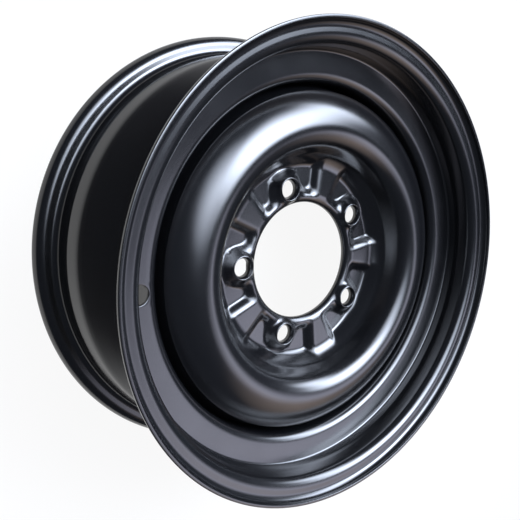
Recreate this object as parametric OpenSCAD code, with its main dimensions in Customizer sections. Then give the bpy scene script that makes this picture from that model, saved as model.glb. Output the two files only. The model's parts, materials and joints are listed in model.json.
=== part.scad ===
// Steel wheel rim: a rolled hoop with a pressed centre disc welded into its well.
// Lengths are in millimetres. The Z axis is the wheel's axis, with the outboard face up.
// The origin is the middle of the face that bolts against the hub.

/* [Rim flanges and bead seats] */
// Diameter at the heel of the bead seats
bead_d = 380.2; // [350:0.2:420]
// Width between the inner faces of the flanges
rim_w = 152.4; // [140:0.2:190]
// Sheet thickness of the rim
rim_t = 2.8; // [2:0.1:3.4]
// Height of the flanges above the heel of the bead seats
flange_h = 17.5; // [16:0.1:20]
// Reach of the lips past the inner faces of the flanges
lip_reach = 10.2; // [9.2:0.1:13]
// Roll radius of the lips
lip_r = 9; // [6:0.1:9]
// Heel radius between a flange and its bead seat
heel_r = 6.5; // [5:0.1:8]
// Taper of the bead seats in degrees
seat_taper = 5; // [3:0.5:7]
// Distance from a flange to the crest of its safety hump
hump_at = 20; // [17:0.5:22]
// Half of the width of a safety hump
hump_half_w = 5; // [4:0.5:6]
// Height of the safety humps above the bead seats
hump_h = 0.9; // [0.4:0.1:1.4]
// Bend radius of the humps
hump_r = 8; // [5:0.5:9]

/* [Rim well] */
// Depth of the well below the heel of the bead seats
well_depth = 28; // [24:0.5:32]
// Distance from the front flange to the front shoulder
front_shoulder_at = 29.5; // [28:0.5:34]
// Bend radius of the front shoulder
front_shoulder_r = 5; // [4:0.5:6]
// Axial drop along the front wall of the well
front_wall_drop = 3; // [0:0.5:6]
// Bend radius between the front wall and the floor of the well
front_floor_r = 6; // [5:0.5:8]
// Length of the floor of the well
well_floor_w = 48; // [46:0.5:56]
// Bend radius between the floor and the rear slope of the well
rear_floor_r = 18; // [12:1:24]
// Distance from the rear flange to the rear shoulder
rear_shoulder_at = 34; // [30:0.5:38]
// Bend radius of the rear shoulder
rear_shoulder_r = 12; // [8:1:16]
// Drop of both shoulders below the line of the bead seats
shoulder_drop = 0.6; // [0.2:0.1:1.5]
// Diameter of the valve hole
valve_d = 15.7; // [11:0.1:16]
// Angle round the wheel from the first bolt hole to the valve hole, in degrees
valve_turn = 2.2; // [-36:0.1:36]

/* [Disc] */
// Distance from the middle of the rim to the hub face
wheel_offset = 15; // [8:0.5:24]
// Sheet thickness of the disc
disc_t = 4.5; // [3.5:0.1:5]
// Diameter of the centre bore
bore_d = 108.5; // [98:0.1:110]
// Radius of the rolled edge of the centre bore
bore_edge_r = 5.2; // [5.1:0.1:6]
// Depth of the pockets below the ribs
pocket_depth = 6; // [4.5:0.1:7]
// Radius where the wall of the bowl meets the hub zone
bowl_foot_r = 96.5; // [95:0.5:102]
// Bend radius at the foot of the bowl
bowl_foot_bend = 16; // [8:0.5:18]
// Slope of the wall of the bowl in degrees
bowl_slope = 62; // [56:1:68]
// Height of the crest of the dome above the hub face
dome_h = 48.5; // [44:0.5:54]
// Bend radius of the dome on its inner side
dome_inner_r = 27; // [20:0.5:29]
// Bend radius of the dome on its outer side
dome_outer_r = 21.5; // [16:0.5:23]
// Depth of the end of the skirt behind the hub face
skirt_end = 4; // [2:0.5:8]
// Gap between the skirt and the floor of the well
skirt_gap = 0.05; // [0:0.01:0.2]

/* [Bolt zone] */
// Number of wheel bolts
bolt_count = 5; // [4:1:6]
// Diameter of the bolt circle
bolt_pcd = 139.7; // [138:0.1:142]
// Diameter of the bolt holes
bolt_hole_d = 16; // [13:0.1:17]
// Full angle of the conical nut seats in degrees
seat_angle = 60; // [50:1:90]
// Diameter of the mouth of the nut seats
seat_mouth_d = 19.6; // [18.5:0.1:21]
// Height of the nut collars above the bosses
collar_h = 3; // [2:0.1:4]
// Radius of the nut collars at their foot
collar_foot_r = 13.5; // [12.8:0.1:14]
// Width of the rim of the nut collars
collar_rim_w = 0.6; // [0.4:0.1:1]
// Radius of the bosses at the floor of the pockets
boss_r = 18; // [17:0.1:19]
// Half of the width of the boss necks at the inner ring
neck_half_w = 22; // [20:0.5:24]
// Inner radius of the floor of the pockets
pocket_inner_r = 67; // [65:0.5:69]
// Outer radius of the floor of the pockets
pocket_outer_r = 90; // [89:0.5:91]
// Half of the angle that a pocket spans, in degrees
pocket_half_angle = 25; // [23:0.5:27]
// Draft of the walls of the pockets in degrees
pocket_draft = 25; // [15:1:30]

/* [Weld] */
// Number of weld beads
weld_count = 8; // [4:1:12]
// Arc of each weld bead in degrees
weld_arc = 26; // [10:1:29]
// Leg of the weld beads
weld_leg = 4.2; // [3:0.1:5]
// Fullness of the weld beads, as the share of the leg that their crown reaches
weld_fullness = 0.62; // [0.52:0.02:0.8]

/* [Hidden] */
$fn = 96;

// Turn between two points of a bend, in degrees
bend_step = 10;
// Overshoot of a cut past the surface that it opens
cut_past = 2;
// Overlap of the pressed forms with the plate that they are part of
plate_overlap = 0.6 * disc_t;
// Angle round a boss, from its outermost point, at which its neck ends
neck_end_angle = 60;

// Planes along the wheel's axis
front_face_z = rim_w / 2 - wheel_offset;
rear_face_z = -rim_w / 2 - wheel_offset;
plate_z = disc_t + pocket_depth;
front_floor_z = front_face_z - front_shoulder_at - front_wall_drop;
rear_floor_z = front_floor_z - well_floor_w;

// Radii of the rim on its tyre side
bead_r = bead_d / 2;
flange_r = bead_r + flange_h;
well_r = bead_r - well_depth;

// Radii of the disc
bolt_r = bolt_pcd / 2;
skirt_r = well_r - rim_t - skirt_gap;
dome_corner_r = bowl_foot_r + (dome_h - plate_z) / tan(bowl_slope);
// The blocks that trim the pockets reach past the bowl
trim_reach = skirt_r;

// Radius of a bead seat at a distance from its flange
function seat_r(from_flange) = bead_r - from_flange * tan(seat_taper);

function unit(v) = v / norm(v);
function turned(v, a) = [v.x * cos(a) - v.y * sin(a), v.x * sin(a) + v.y * cos(a)];
function to_right(v) = [v.y, -v.x];

// Points of one bend, each with the normal to the right of the path
function bend(a, b, c, r) =
    let (
        coming = unit(b - a),
        going = unit(c - b),
        turn = atan2(cross(coming, going), coming * going),
        start = b - coming * r * tan(abs(turn) / 2),
        side = sign(turn),
        centre = start - to_right(coming) * r * side,
        steps = max(2, ceil(abs(turn) / bend_step))
    )
    [for (i = [0:steps])
        let (right = turned(to_right(coming), turn * i / steps))
        [centre + right * r * side, right]];

// A path through corners, each given as [radius, height, bend radius]
function bent_path(corners) =
    let (
        last = len(corners) - 1,
        at = [for (c = corners) [c[0], c[1]]],
        bends = [for (i = [1:last - 1])
            each bend(at[i - 1], at[i], at[i + 1], corners[i][2])]
    )
    concat(
        [[at[0], to_right(unit(at[1] - at[0]))]],
        bends,
        [[at[last], to_right(unit(at[last] - at[last - 1]))]]
    );

// The section of a bent sheet that lies to the right of its path
module sheet_section(corners, thickness) {
    path = bent_path(corners);
    back = [for (i = [len(path) - 1:-1:0]) path[i][0] + path[i][1] * thickness];
    polygon(concat([for (p = path) p[0]], back));
}

// The front hump, and the two ends of the front wall of the well, on the tyre side
front_hump = [seat_r(hump_at) + hump_h, front_face_z - hump_at];
wall_top = [seat_r(front_shoulder_at) - shoulder_drop, front_face_z - front_shoulder_at];
wall_foot = [well_r, front_floor_z];

// Corners of the rim's tyre side, from the front lip to the rear lip
rim_corners = [
    [flange_r, front_face_z + lip_reach, 0],
    [flange_r, front_face_z, lip_r],
    [bead_r, front_face_z, heel_r],
    [seat_r(hump_at - hump_half_w), front_face_z - hump_at + hump_half_w, hump_r],
    [each front_hump, hump_r],
    [each wall_top, front_shoulder_r],
    [each wall_foot, front_floor_r],
    [well_r, rear_floor_z, rear_floor_r],
    [seat_r(rear_shoulder_at) - shoulder_drop, rear_face_z + rear_shoulder_at, rear_shoulder_r],
    [seat_r(hump_at) + hump_h, rear_face_z + hump_at, hump_r],
    [seat_r(hump_at - hump_half_w), rear_face_z + hump_at - hump_half_w, hump_r],
    [bead_r, rear_face_z, heel_r],
    [flange_r, rear_face_z, lip_r],
    [flange_r, rear_face_z - lip_reach, 0]
];

// Corners of the disc's front side, from the back of the bore to the end of the skirt
disc_corners = [
    [bore_d / 2, 0, 0],
    [bore_d / 2, plate_z, bore_edge_r],
    [bowl_foot_r, plate_z, bowl_foot_bend],
    [dome_corner_r, dome_h, dome_inner_r],
    [skirt_r, dome_h, dome_outer_r],
    [skirt_r, -skirt_end, 0]
];

// Lean of the front wall from square, and of the shoulder above it from the wheel's axis
wall_down = unit(wall_foot - wall_top);
wall_turn = asin(-wall_down.y);
shoulder_turn = atan((front_hump.x - wall_top.x) / (front_hump.y - wall_top.y));
// Lengths of the wall that its two bends take up
top_bend_len = front_shoulder_r * tan((90 - wall_turn - shoulder_turn) / 2);
foot_bend_len = front_floor_r * tan((90 - wall_turn) / 2);
// The middle of the flat that the bends leave
valve_along = (norm(wall_foot - wall_top) + top_bend_len - foot_bend_len) / 2;
valve_at = wall_top + wall_down * valve_along;

// The valve hole goes square through the flat of the front wall
module valve_hole() {
    rotate([0, 0, valve_turn])
        translate([valve_at.x, 0, valve_at.y])
            rotate([0, -wall_turn, 0])
                cylinder(h = 2 * (rim_t + cut_past), d = valve_d, center = true);
}

module rim() {
    color("#2b2f36")
        difference() {
            rotate_extrude()
                sheet_section(rim_corners, rim_t);
            valve_hole();
        }
}

module at_each_bolt() {
    for (i = [0:bolt_count - 1])
        rotate([0, 0, i * 360 / bolt_count])
            children();
}

// All that lies on the pocket's side of one drafted side wall
module beside_side_wall(side, grow) {
    rotate([0, 0, side * pocket_half_angle])
        translate([0, side * grow, disc_t])
            rotate([-side * pocket_draft, 0, 0])
                translate([0, side > 0 ? -trim_reach : 0, -trim_reach / 2])
                    cube(trim_reach);
}

// The space of one pocket around its boss, with its walls moved out by grow
module pocket_space(bottom, top, grow) {
    low = (bottom - disc_t) * tan(pocket_draft) + grow;
    high = (top - disc_t) * tan(pocket_draft) + grow;
    neck = neck_half_w - grow;
    shoulder = boss_r - grow;
    neck_end = shoulder * [cos(neck_end_angle), sin(neck_end_angle)];
    difference() {
        intersection() {
            rotate_extrude()
                polygon([
                    [pocket_inner_r - low, bottom],
                    [pocket_outer_r + low, bottom],
                    [pocket_outer_r + high, top],
                    [pocket_inner_r - high, top]
                ]);
            beside_side_wall(1, grow);
            beside_side_wall(-1, grow);
        }
        translate([bolt_r, 0, bottom])
            cylinder(h = top - bottom, r1 = boss_r - low, r2 = boss_r - high);
        translate([0, 0, bottom - cut_past])
            linear_extrude(top - bottom + 2 * cut_past)
                polygon([
                    [bolt_r - shoulder, -neck],
                    [pocket_inner_r, -neck],
                    [bolt_r + neck_end.x, -neck_end.y],
                    [bolt_r + neck_end.x, neck_end.y],
                    [pocket_inner_r, neck],
                    [bolt_r - shoulder, neck]
                ]);
    }
}

// The raised collar that the nut seat is pressed into
module nut_collar() {
    rim_r = seat_mouth_d / 2 + collar_rim_w;
    spread = (collar_foot_r - rim_r) / collar_h;
    translate([bolt_r, 0, plate_z - plate_overlap])
        cylinder(h = plate_overlap + collar_h, r1 = collar_foot_r + spread * plate_overlap, r2 = rim_r);
}

// The bolt hole and the cone that centres the nut, as one turned cutter
module bolt_hole() {
    hole_r = bolt_hole_d / 2;
    mouth_r = seat_mouth_d / 2;
    collar_z = plate_z + collar_h;
    widening = tan(seat_angle / 2);
    translate([bolt_r, 0, 0])
        rotate_extrude()
            polygon([
                [0, -cut_past],
                [hole_r, -cut_past],
                [hole_r, collar_z - (mouth_r - hole_r) / widening],
                [mouth_r + cut_past * widening, collar_z + cut_past],
                [0, collar_z + cut_past]
            ]);
}

module disc() {
    color("#31353c")
        difference() {
            union() {
                rotate_extrude()
                    sheet_section(disc_corners, disc_t);
                at_each_bolt() {
                    pocket_space(0, plate_z - disc_t + plate_overlap, disc_t / cos(pocket_draft));
                    nut_collar();
                }
            }
            at_each_bolt() {
                pocket_space(disc_t, plate_z + pocket_depth, 0);
                bolt_hole();
            }
        }
}

// Fillet welds between the end of the skirt and the floor of the well
module weld_beads() {
    color("#3a3d42")
        for (i = [0:weld_count - 1])
            rotate([0, 0, (i + 0.5) * 360 / weld_count - weld_arc / 2])
                rotate_extrude(angle = weld_arc)
                    polygon([
                        [skirt_r, -skirt_end],
                        [skirt_r - weld_leg, -skirt_end],
                        [skirt_r - weld_leg * weld_fullness, -skirt_end - weld_leg * weld_fullness],
                        [skirt_r, -skirt_end - weld_leg]
                    ]);
}

rim();
disc();
weld_beads();
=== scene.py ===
import json
import math
import bmesh
import bpy
from mathutils import Matrix, Vector


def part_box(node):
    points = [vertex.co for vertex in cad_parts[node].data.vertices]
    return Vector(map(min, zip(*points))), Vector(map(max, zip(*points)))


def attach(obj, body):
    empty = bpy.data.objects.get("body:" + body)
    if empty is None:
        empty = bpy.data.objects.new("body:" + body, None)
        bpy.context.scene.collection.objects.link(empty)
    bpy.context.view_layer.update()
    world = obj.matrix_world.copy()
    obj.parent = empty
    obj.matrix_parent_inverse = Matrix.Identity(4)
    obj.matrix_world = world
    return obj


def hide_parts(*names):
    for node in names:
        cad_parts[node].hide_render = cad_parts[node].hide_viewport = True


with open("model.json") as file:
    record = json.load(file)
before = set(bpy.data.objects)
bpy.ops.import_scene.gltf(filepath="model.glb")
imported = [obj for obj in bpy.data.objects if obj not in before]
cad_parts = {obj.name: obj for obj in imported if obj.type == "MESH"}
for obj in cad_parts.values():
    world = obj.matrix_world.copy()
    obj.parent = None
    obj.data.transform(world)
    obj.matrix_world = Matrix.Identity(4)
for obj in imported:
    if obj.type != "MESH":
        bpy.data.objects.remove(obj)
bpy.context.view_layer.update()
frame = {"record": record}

# The rim is one steel strip, rolled into a hoop and butt-welded, then formed between rollers
# into two flanges, two bead seats with humps and a deep well. The valve hole is punched
# through the front wall of the well, and all of it is dipped in a black coat and baked.
MM = 0.001
FULL_TURN = 2 * math.pi
BEND_STEP = math.radians(8)
SHARP_TURN = math.radians(40)
rim_low, rim_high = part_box("rim")
rim_steps = 360
rim_row = 4 * MM
rim_sheet = 2.8 * MM
flange_r = rim_high.x
flange_height = 17.5 * MM
lip_reach = 10.2 * MM
lip_bend = 9 * MM
lip_edge = 0.7 * MM
cut_segments = 3
heel_bend = 6.5 * MM
seat_taper = math.tan(math.radians(5))
hump_at = 20 * MM
hump_half_width = 5 * MM
hump_height = 0.9 * MM
hump_bend = 8 * MM
well_depth = 28 * MM
well_floor = 48 * MM
front_shoulder_at = 29.5 * MM
front_shoulder_bend = 5 * MM
front_wall_drop = 3 * MM
front_floor_bend = 6 * MM
rear_floor_bend = 18 * MM
rear_shoulder_at = 34 * MM
rear_shoulder_bend = 12 * MM
shoulder_drop = 0.6 * MM
valve_hole_r = 7.85 * MM
valve_patch = 10.8 * MM
hole_rings = 2

bead_r = flange_r - flange_height
well_r = bead_r - well_depth
front_face = rim_high.z - lip_reach
rear_face = rim_low.z + lip_reach
front_floor = front_face - front_shoulder_at - front_wall_drop
wall_bottom = front_floor - 4 * MM


def seat_r(from_flange):
    """Radius of a bead seat at a distance from its flange."""
    return bead_r - from_flange * seat_taper


def bent_section(corners, longest):
    """The line of a bent sheet through corners, each given as radius, height and bend radius."""
    section = bmesh.new()
    chain = [section.verts.new((r, 0, z)) for r, z, bend in corners]
    places = [v.co.copy() for v in chain]
    for start, end in zip(chain, chain[1:]):
        section.edges.new((start, end))
    for i in range(1, len(corners) - 1):
        turn = (places[i] - places[i - 1]).angle(places[i + 1] - places[i])
        bmesh.ops.bevel(
            section,
            geom=[chain[i]],
            offset=corners[i][2] * math.tan(turn / 2),
            offset_type="OFFSET",
            segments=max(2, math.ceil(turn / BEND_STEP)),
            profile=0.5,
            affect="VERTICES",
            material=-1,
        )
    for edge in section.edges[:]:
        cuts = math.ceil(edge.calc_length() / longest) - 1
        if cuts > 0:
            bmesh.ops.subdivide_edges(section, edges=[edge], cuts=cuts)
    return section


def spin_section(section, steps):
    """Turns a section once about the wheel's axis into a sheet."""
    bmesh.ops.spin(
        section,
        geom=section.verts[:] + section.edges[:],
        cent=(0, 0, 0),
        axis=(0, 0, 1),
        dvec=(0, 0, 0),
        angle=FULL_TURN,
        steps=steps,
        use_merge=True,
        use_duplicate=False,
    )


def punch_hole(sheet, inside, centre, radii, rings):
    """Swaps the faces that lie inside for rings of quads that close in on a round hole."""
    patch = [f for f in sheet.faces if inside(f.calc_center_median())]
    outline = [e for f in patch for e in f.edges if sum(g in patch for g in e.link_faces) == 1]
    bmesh.ops.delete(sheet, geom=patch, context="FACES")
    circle = bmesh.ops.create_circle(
        sheet,
        segments=len(outline),
        radius=radii[0],
        matrix=Matrix.Translation(centre),
    )["verts"]
    edge_loop = list(dict.fromkeys(e for v in circle for e in v.link_edges))
    bridge = bmesh.ops.bridge_loops(sheet, edges=outline + edge_loop)
    bmesh.ops.subdivide_edges(sheet, edges=bridge["edges"], cuts=rings)
    for outer, inner in zip(radii, radii[1:]):
        extruded = bmesh.ops.extrude_edge_only(sheet, edges=edge_loop)["geom"]
        circle = [g for g in extruded if isinstance(g, bmesh.types.BMVert)]
        new_edges = [g for g in extruded if isinstance(g, bmesh.types.BMEdge)]
        edge_loop = [e for e in new_edges if set(e.verts) <= set(circle)]
        shrink = inner / outer
        bmesh.ops.scale(sheet, verts=circle, vec=(shrink, shrink, 1), space=Matrix.Translation(-centre))


rim_corners = [
    (flange_r, rim_high.z, 0),
    (flange_r, front_face, lip_bend),
    (bead_r, front_face, heel_bend),
    (seat_r(hump_at - hump_half_width), front_face - hump_at + hump_half_width, hump_bend),
    (seat_r(hump_at) + hump_height, front_face - hump_at, hump_bend),
    (seat_r(front_shoulder_at) - shoulder_drop, front_face - front_shoulder_at, front_shoulder_bend),
    (well_r, front_floor, front_floor_bend),
    (well_r, front_floor - well_floor, rear_floor_bend),
    (seat_r(rear_shoulder_at) - shoulder_drop, rear_face + rear_shoulder_at, rear_shoulder_bend),
    (seat_r(hump_at) + hump_height, rear_face + hump_at, hump_bend),
    (seat_r(hump_at - hump_half_width), rear_face + hump_at - hump_half_width, hump_bend),
    (bead_r, rear_face, heel_bend),
    (flange_r, rear_face, lip_bend),
    (flange_r, rim_low.z, 0),
]
rim_mesh = bent_section(rim_corners, rim_row)
wall_places = [v.co for v in rim_mesh.verts if wall_bottom < v.co.z < front_face - hump_at]
wall_line = sorted((place.x, place.z) for place in wall_places)
spin_section(rim_mesh, rim_steps)
valve_record = next(m for m in frame["record"]["mounts"] if m["name"] == "valve_hole")
valve_at = Vector(valve_record["pos_m"])
valve_r = math.hypot(valve_at.x, valve_at.y)
valve_angle = math.atan2(valve_at.y, valve_at.x)


def wall_height(r):
    """Height of the front wall of the well at a radius."""
    for (r0, z0), (r1, z1) in zip(wall_line, wall_line[1:]):
        if r <= r1:
            return z0 + (z1 - z0) * (r - r0) / (r1 - r0)
    return wall_line[-1][1]


def on_valve_patch(place):
    """Whether a place on the rim is in the square round the valve hole."""
    from_axis = math.hypot(place.x, place.y)
    beside = abs(math.atan2(place.y, place.x) - valve_angle) * valve_r
    return max(beside, abs(from_axis - valve_r)) < valve_patch and place.z > wall_bottom


punch_hole(rim_mesh, on_valve_patch, valve_at, [valve_hole_r], hole_rings)
for vert in rim_mesh.verts:
    if on_valve_patch(vert.co):
        vert.co.z = wall_height(math.hypot(vert.co.x, vert.co.y))
bmesh.ops.recalc_face_normals(rim_mesh, faces=rim_mesh.faces[:])
bmesh.ops.solidify(rim_mesh, geom=rim_mesh.faces[:], thickness=rim_sheet)


def round_edges(shell, offset, segments, chosen):
    """Rounds the sheared edges of a sheet whose ends are chosen by their place."""
    sheared = [e for e in shell.edges if e.calc_face_angle() > SHARP_TURN and chosen(e.verts[0].co)]
    bmesh.ops.bevel(
        shell,
        geom=sheared,
        offset=offset,
        offset_type="OFFSET",
        segments=segments,
        profile=0.5,
        affect="EDGES",
        clamp_overlap=True,
        material=-1,
    )


def place_piece(shell, name, node):
    """Makes a smooth piece that rides on the wheel and stands for a solid of the frame."""
    for face in shell.faces:
        face.smooth = True
    mesh = bpy.data.meshes.new(name)
    shell.to_mesh(mesh)
    shell.free()
    piece = bpy.data.objects.new(name, mesh)
    bpy.context.scene.collection.objects.link(piece)
    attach(piece, "root")
    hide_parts(node)
    return piece


round_edges(rim_mesh, lip_edge, cut_segments, lambda place: True)
rim = place_piece(rim_mesh, "rolled_rim", "rim")


class Socket:
    """One output of a material's nodes, where arithmetic adds Math nodes."""

    def __init__(self, tree, output=None):
        self.tree = tree
        self.output = output

    def node(self, kind, settings, inputs, output=0):
        """Adds a node, sets what it is told and gives one of its outputs."""
        made = self.tree.nodes.new("ShaderNode" + kind)
        for name, value in settings.items():
            setattr(made, name, value)
        for name, value in inputs.items():
            if isinstance(value, Socket):
                self.tree.links.new(value.output, made.inputs[name])
            else:
                made.inputs[name].default_value = value
        return Socket(self.tree, made.outputs[output] if made.outputs else None)

    def math(self, operation, first, second):
        """Adds a Math node on two values or sockets."""
        return self.node("Math", {"operation": operation}, {0: first, 1: second})

    def __add__(self, other):
        return self.math("ADD", self, other)

    def __mul__(self, other):
        return self.math("MULTIPLY", self, other)

    def __sub__(self, other):
        return self.math("SUBTRACT", self, other)

    def __rsub__(self, other):
        return self.math("SUBTRACT", other, self)

    __radd__ = __add__
    __rmul__ = __mul__


coat_ior = 1.9
coat_black = (0.004, 0.0042, 0.005)
coat_roughness = 0.2
cloud_scale = 22
cloud_swing = 0.12
peel_scale = 700
peel_strength = 0.012
peel_height = 0.4 * MM
speck_scale = 1400
speck_start = 0.7
speck_full = 0.78
dust_cover = 0.35
dust_colour = (0.12, 0.12, 0.12)


def black_coat(name, colour, roughness):
    """A dipped and baked black coat with a fine orange peel, soft clouds in its gloss and dust."""
    material = bpy.data.materials.new(name)
    material.use_nodes = True
    tree = material.node_tree
    tree.nodes.clear()
    start = Socket(tree)
    place = start.node("TexCoord", {}, {}, "Object")
    clouds = start.node(
        "TexNoise",
        {},
        {"Vector": place, "Scale": cloud_scale, "Detail": 4, "Roughness": 0.55},
    )
    peel = start.node(
        "TexNoise",
        {},
        {"Vector": place, "Scale": peel_scale, "Detail": 1, "Roughness": 0.5},
    )
    specks = start.node("TexNoise", {}, {"Vector": place, "Scale": speck_scale, "Detail": 1})
    dust = start.node(
        "MapRange",
        {},
        {"Value": specks, "From Min": speck_start, "From Max": speck_full, "To Max": dust_cover},
    )
    tint = start.node(
        "Mix",
        {"data_type": "RGBA"},
        {"Factor": dust, "A": (*colour, 1), "B": (*dust_colour, 1)},
        "Result",
    )
    bump = start.node(
        "Bump",
        {},
        {"Strength": peel_strength, "Distance": peel_height, "Height": peel},
    )
    shader = start.node(
        "BsdfPrincipled",
        {},
        {
            "Base Color": tint,
            "Roughness": clouds * cloud_swing + (roughness - cloud_swing / 2),
            "IOR": coat_ior,
            "Normal": bump,
        },
    )
    start.node("OutputMaterial", {}, {"Surface": shader})
    return material


rim.data.materials.append(black_coat("rim_coat", coat_black, coat_roughness))

# The disc is one pressed plate: a rolled centre bore, five bosses with conical nut seats that
# stand in pockets, ribs between them, a deep bowl and a round dome, whose shoulder falls into a
# dark groove at the rim. Its straight skirt is pressed into the well and welded there from behind.
disc_low, disc_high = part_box("disc")
disc_steps = 400
disc_row = 6 * MM
disc_sheet = 4.5 * MM
skirt_r = disc_high.x
bore_r = 54.25 * MM
bore_bend = 9.5 * MM
bore_drop = 6 * MM
bore_end_round = 3.8 * MM
bore_end_segments = 6
bore_margin = 0.1 * MM
cut_edge = 0.5 * MM
plate_front = 10.5 * MM
plate_middle = plate_front - disc_sheet / 2
plate_level = 0.01 * MM
plate_cuts = 5
hub_top = 2 * plate_front
bowl_foot_r = 96.5 * MM
bowl_foot_bend = 16 * MM
dome_corner = (110.3 * MM, 46.8 * MM)
dome_bend = 19 * MM
shoulder_corner = (143.2 * MM, 38 * MM)
shoulder_bend = 44 * MM
groove_edge = (152.5 * MM, 28 * MM)
groove_edge_bend = 2 * MM
skirt_top = 2.8 * MM
skirt_bend = 15 * MM
bolt_count = 5
bolt_sector = FULL_TURN / bolt_count
bolt_ring_r = 69.85 * MM
bolt_hole_r = 8 * MM
bolt_patch_in = 56.2 * MM
bolt_patch_out = 84.2 * MM
bolt_patch_half = 14.4 * MM
nut_mouth_r = 9.8 * MM
nut_mouth_round = 0.3 * MM
nut_cone = math.tan(math.radians(60))
seat_ring_mm = [12.7, 11.9, 11.1, 10.5, 10.1, 9.8, 9.2, 8.6]
collar_height = 3 * MM
collar_crest_r = 10.4 * MM
collar_crest_round = 0.6 * MM
collar_foot_r = 13.5 * MM
collar_foot_round = 1.2 * MM
boss_r = 18 * MM
boss_ease = 1.2
pocket_depth = 6 * MM
pocket_inner_r = 66.5 * MM
pocket_outer_r = 89 * MM
pocket_half_angle = math.radians(24)
pocket_draft = math.radians(43)
pocket_wall = 1 / math.tan(pocket_draft)
back_growth = disc_sheet * (1 / math.cos(pocket_draft) - math.tan(pocket_draft))
neck_flare = 10 * MM
tip_round = 6 * MM
corner_round = 3 * MM
foot_fillet = 1.6 * MM
edge_fillet = 4 * MM

disc_corners = [
    (bore_r, 0, 0),
    (bore_r, plate_front, bore_bend),
    (bowl_foot_r, plate_front, bowl_foot_bend),
    (*dome_corner, dome_bend),
    (*shoulder_corner, shoulder_bend),
    (*groove_edge, groove_edge_bend),
    (skirt_r, skirt_top, skirt_bend),
    (skirt_r, disc_low.z, 0),
]
disc_mesh = bent_section(disc_corners, disc_row)
plate_edges = [
    e for e in disc_mesh.edges
    if all(abs(v.co.z - plate_front) < plate_level for v in e.verts)
]
bmesh.ops.subdivide_edges(disc_mesh, edges=plate_edges, cuts=plate_cuts)
spin_section(disc_mesh, disc_steps)


def on_bolt_patch(place, to_bolt):
    """Whether a place on the plate is in the block round a bolt hole."""
    from_axis = math.hypot(place.x, place.y)
    angle = to_bolt.angle(Vector((place.x, place.y, 0)))
    in_reach = bolt_patch_in < from_axis < bolt_patch_out and place.z < hub_top
    return in_reach and angle * bolt_ring_r < bolt_patch_half


seat_rings = [ring * MM for ring in seat_ring_mm] + [bolt_hole_r]
for i in range(bolt_count):
    bolt_angle = bolt_sector * i
    to_bolt = Vector((math.cos(bolt_angle), math.sin(bolt_angle), 0))
    bolt_at = to_bolt * bolt_ring_r + Vector((0, 0, plate_front))
    punch_hole(disc_mesh, lambda place: on_bolt_patch(place, to_bolt), bolt_at, seat_rings, hole_rings)
for vert in disc_mesh.verts:
    across = 1 - (math.hypot(vert.co.x, vert.co.y) - bore_r) / bore_bend
    if vert.co.z > 0 and across > 0:
        vert.co.z = plate_front - bore_drop * (1 - math.sqrt(max(1 - across**2, 0)))
bmesh.ops.recalc_face_normals(disc_mesh, faces=disc_mesh.faces[:])
bmesh.ops.solidify(disc_mesh, geom=disc_mesh.faces[:], thickness=disc_sheet)


def at_bore_end(place):
    """Whether a place on the plate is on the inner edge at the back of the bore."""
    return math.hypot(place.x, place.y) < bore_r + bore_margin and place.z < plate_middle


def at_other_end(place):
    """Whether a place is on the end of the skirt or at the back of a bolt hole."""
    return place.z < plate_middle and not at_bore_end(place)


round_edges(disc_mesh, bore_end_round, bore_end_segments, at_bore_end)
round_edges(disc_mesh, cut_edge, cut_segments, at_other_end)


def smooth_max(a, b, blend):
    """The larger of two lengths, with the corner where they meet rounded."""
    near = max(blend - abs(a - b), 0) / blend
    return max(a, b) + near * near * blend / 4


def smooth_min(a, b, blend):
    """The smaller of two lengths, with the corner where they meet rounded."""
    return -smooth_max(-a, -b, blend)


def from_bolts(x, y):
    """A place's distance from the axis, and its angle and distance from the nearest bolt hole."""
    r = math.hypot(x, y)
    angle = (math.atan2(y, x) + bolt_sector / 2) % bolt_sector - bolt_sector / 2
    from_bolt = math.hypot(r * math.cos(angle) - bolt_ring_r, r * math.sin(angle))
    return r, angle, from_bolt


def pressed_depth(x, y, growth):
    """How far the pockets are pressed back at a place, around their bosses."""
    r, angle, from_bolt = from_bolts(x, y)
    outside = smooth_max(pocket_inner_r - r, (boss_r - from_bolt) * boss_ease, neck_flare)
    outside = smooth_max(outside, r * math.sin(abs(angle) - pocket_half_angle), tip_round)
    outside = smooth_max(outside, r - pocket_outer_r, corner_round)
    rise = smooth_min((outside - growth) * pocket_wall, pocket_depth, edge_fillet)
    return pocket_depth - smooth_max(rise, 0, foot_fillet)


def collar_rise(x, y):
    """How far the collar round the nearest nut seat stands up at a place."""
    r, angle, from_bolt = from_bolts(x, y)
    slope = collar_height * (collar_foot_r - from_bolt) / (collar_foot_r - collar_crest_r)
    outer = smooth_max(smooth_min(slope, collar_height, collar_crest_round), 0, collar_foot_round)
    seat = collar_height - (nut_mouth_r - from_bolt) * nut_cone
    return smooth_min(outer, seat, nut_mouth_round)


for vert in disc_mesh.verts:
    x, y, z = vert.co
    if math.hypot(x, y) > bowl_foot_r or z > hub_top:
        continue
    if z > plate_middle:
        vert.co.z += collar_rise(x, y) - pressed_depth(x, y, 0)
    else:
        vert.co.z -= pressed_depth(x, y, back_growth)
disc = place_piece(disc_mesh, "pressed_disc", "disc")
disc.data.materials.append(black_coat("disc_coat", coat_black, coat_roughness))

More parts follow.
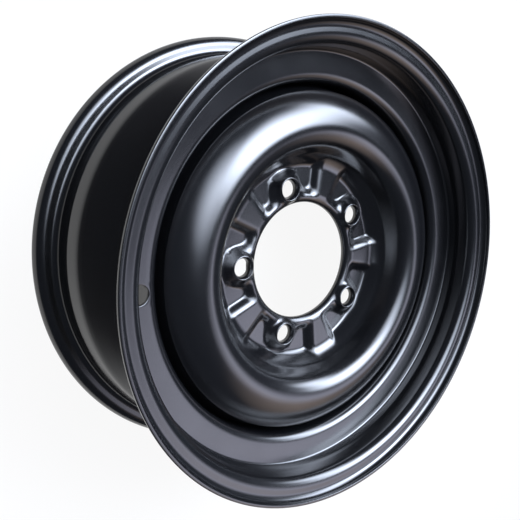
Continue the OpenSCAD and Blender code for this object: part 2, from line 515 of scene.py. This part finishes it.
# The weld beads are eight arcs of fillet weld on the inboard side, laid by machine in the
# corner between the end of the skirt and the rim. Each shows the ripples of its pool, runs
# out at both ends and carries the same coat.
bead_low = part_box("weld_beads")[0]
bead_count = 8
bead_spacing = FULL_TURN / bead_count
bead_arc = math.radians(26)
bead_steps = 78
bead_leg = disc_low.z - bead_low.z
bead_fullness = 0.62
bead_crown = 0.3 * bead_leg
bead_crown_segments = 4
ripple_angle = math.radians(0.8)
ripple_share = 0.07
run_out_angle = math.radians(1.6)
run_out_share = 0.65
weld_roughness = 0.36
bead_corners = [(0, 0), (-1, 0), (-bead_fullness, -bead_fullness), (0, -1)]
beads_mesh = bmesh.new()
for i in range(bead_count):
    first_angle = bead_spacing * (i + 0.5) - bead_arc / 2
    section = [
        beads_mesh.verts.new((skirt_r + across * bead_leg, 0, disc_low.z + down * bead_leg))
        for across, down in bead_corners
    ]
    for start, end in zip(section, section[1:] + section[:1]):
        beads_mesh.edges.new((start, end))
    bmesh.ops.bevel(
        beads_mesh,
        geom=[section[2]],
        offset=bead_crown,
        offset_type="OFFSET",
        segments=bead_crown_segments,
        profile=0.5,
        affect="VERTICES",
        material=-1,
    )
    ring = [v for v in beads_mesh.verts if not v.link_faces]
    outline = [e for e in beads_mesh.edges if not e.link_faces]
    cap = bmesh.ops.contextual_create(beads_mesh, geom=outline)["faces"]
    bmesh.ops.rotate(beads_mesh, verts=ring, matrix=Matrix.Rotation(first_angle, 3, "Z"))
    bmesh.ops.spin(
        beads_mesh,
        geom=cap + [e for f in cap for e in f.edges] + ring,
        cent=(0, 0, 0),
        axis=(0, 0, 1),
        angle=bead_arc,
        steps=bead_steps,
        use_duplicate=False,
    )
for vert in beads_mesh.verts:
    from_middle = (math.atan2(vert.co.y, vert.co.x) % bead_spacing) - bead_spacing / 2
    to_end = min((bead_arc / 2 - abs(from_middle)) / run_out_angle, 1)
    rounding = math.sqrt(max(1 - (1 - to_end) ** 2, 0))
    ripple = 1 - ripple_share * (1 - abs(math.cos(math.pi * from_middle / ripple_angle)))
    swell = ripple * (1 - run_out_share * (1 - rounding))
    from_axis = math.hypot(vert.co.x, vert.co.y)
    shrink = (skirt_r - (skirt_r - from_axis) * swell) / from_axis
    vert.co.x *= shrink
    vert.co.y *= shrink
    vert.co.z = disc_low.z - (disc_low.z - vert.co.z) * swell
bmesh.ops.recalc_face_normals(beads_mesh, faces=beads_mesh.faces[:])
beads = place_piece(beads_mesh, "fillet_welds", "weld_beads")
beads.data.materials.append(black_coat("weld_coat", coat_black, weld_roughness))

# The camera stands close to the wheel, above it and towards its first bolt hole, and is rolled
# so that the wheel, which lies on its inboard flange, is seen standing up. Its place, turn, lens
# and shift come from fitting the round edges of the wheel.
camera_data = bpy.data.cameras.new("camera")
camera = bpy.data.objects.new("camera", camera_data)
bpy.context.scene.collection.objects.link(camera)
bpy.context.scene.camera = camera
view_from = Vector((0.3700, -0.1033, 0.4411))
right = Vector((-0.75571, -0.04293, 0.65350))
up = Vector((-0.08548, -0.98285, -0.16341))
back = Vector((0.64930, -0.17935, 0.73908))
camera.matrix_world = Matrix.Translation(view_from) @ Matrix((right, up, back)).transposed().to_4x4()
camera_data.lens = 43.02
camera_data.sensor_width = 36
camera_data.shift_x = -0.0985
camera_data.shift_y = 0.0027

# The stage is a plain pale floor that keeps the wheel's shadow, a dim bluish room and soft lamps
# that fade out towards their edges. The camera sees the floor white, but every other ray sees a painted
# reflection on it: a pale glowing pool round the wheel that fades into a painted dark floor farther out.
floor_half = 60
floor_white = (0.8, 0.8, 0.8, 1)
# Painted dark: the colour the floor takes away from the wheel for all rays but the camera's, standing in
# for shade in the coat's reflections.
painted_dark_floor = (0.06, 0.06, 0.065, 1)
glow_white = (1, 1, 1, 1)
floor_glow = 0.92
# Centre and reach of the painted pale pool, a painted reflection that the coat mirrors near the wheel.
painted_pool_centre = (-0.22, 0.12, rim_low.z)
painted_pool_r = 0.3
painted_pool_end = 0.7
floor_mesh = bmesh.new()
bmesh.ops.create_grid(floor_mesh, x_segments=1, y_segments=1, size=floor_half)
bmesh.ops.translate(floor_mesh, verts=floor_mesh.verts[:], vec=(0, 0, rim_low.z))
mesh = bpy.data.meshes.new("floor")
floor_mesh.to_mesh(mesh)
floor_mesh.free()
floor = bpy.data.objects.new("floor", mesh)
bpy.context.scene.collection.objects.link(floor)
paper = bpy.data.materials.new("floor_paper_with_painted_pool")
paper.use_nodes = True
paper.node_tree.nodes.clear()
start = Socket(paper.node_tree)
seen = start.node("LightPath", {}, {}, "Is Camera Ray")
mirrored = start.node("LightPath", {}, {}, "Is Glossy Ray")
through = start.node("LightPath", {}, {}, "Is Transmission Ray")
floor_place = start.node("TexCoord", {}, {}, "Object")
# Painted reflection: with distance from the pool's centre, the floor's colour and glow fade from pale to
# painted dark for all rays but the camera's.
from_painted_pool = start.node("VectorMath", {"operation": "DISTANCE"}, {0: floor_place, 1: painted_pool_centre}, "Value")
beyond_painted_pool = start.node(
    "MapRange",
    {"interpolation_type": "SMOOTHSTEP"},
    {"Value": from_painted_pool, "From Min": painted_pool_r, "From Max": painted_pool_end},
) * (1 - seen)
floor_colour_with_painted_dark = start.node(
    "Mix",
    {"data_type": "RGBA"},
    {"Factor": beyond_painted_pool, "A": floor_white, "B": painted_dark_floor},
    "Result",
)
# Painted reflection: the glow is white in the pool and painted dark beyond it, except for camera rays.
painted_pool_glow = start.node(
    "Mix",
    {"data_type": "RGBA"},
    {"Factor": beyond_painted_pool, "A": glow_white, "B": painted_dark_floor},
    "Result",
)
lit = start.node("BsdfDiffuse", {}, {"Color": floor_colour_with_painted_dark})
glow = start.node("Emission", {}, {"Color": painted_pool_glow, "Strength": 1})
share = seen.math("MAXIMUM", seen.math("MAXIMUM", seen, mirrored), through) * floor_glow
mixed = start.node("MixShader", {}, {0: share, 1: lit, 2: glow})
start.node("OutputMaterial", {}, {"Surface": mixed})
floor.data.materials.append(paper)

world = bpy.data.worlds.new("room")
bpy.context.scene.world = world
world.use_nodes = True
room_light = world.node_tree.nodes["Background"].inputs
room_light["Color"].default_value = (0.8, 0.9, 1.15, 1)
room_light["Strength"].default_value = 0.07


def soft_lamp(name, azimuth, elevation, reach, radiance, colour, aim=(0, 0, 0), distance=2.2):
    """A soft lamp that faces the wheel and fades out towards its edge, with its angles in degrees."""
    half_angle = math.radians(reach)
    light = bpy.data.lights.new(name, "AREA")
    light.shape = "SQUARE"
    light.size = 2 * distance * math.tan(half_angle)
    light.spread = 2 * half_angle
    light.color = colour
    light.energy = radiance * 4 * light.size**2 * (1 - half_angle / math.tan(half_angle))
    lamp = bpy.data.objects.new(name, light)
    level = math.cos(math.radians(elevation))
    towards = Vector((
        level * math.cos(math.radians(azimuth)),
        level * math.sin(math.radians(azimuth)),
        math.sin(math.radians(elevation)),
    ))
    lamp.location = Vector(aim) + towards * distance
    lamp.rotation_euler = towards.to_track_quat("Z", "Y").to_euler()
    lamp.visible_camera = False
    bpy.context.scene.collection.objects.link(lamp)


sky_blue = (0.9, 1, 1.2)
fill_blue = (0.95, 0.97, 1.2)
card_brown = (1, 0.8, 0.7)
soft_lamp("key_panel", -133, 55, 25, 16, sky_blue)
soft_lamp("low_panel", -138, 27, 18, 9, sky_blue)
soft_lamp("top_panel", -85, 70, 26, 6, sky_blue)
soft_lamp("far_fill", 140, 49, 20, 1.4, fill_blue)
soft_lamp("near_fill", 163, 49, 18, 1.2, fill_blue, aim=(-0.09, 0.18, 0.05), distance=0.65)
soft_lamp("warm_card", 128, 31, 26, 0.9, card_brown)
bpy.context.scene.view_settings.view_transform = "Standard"
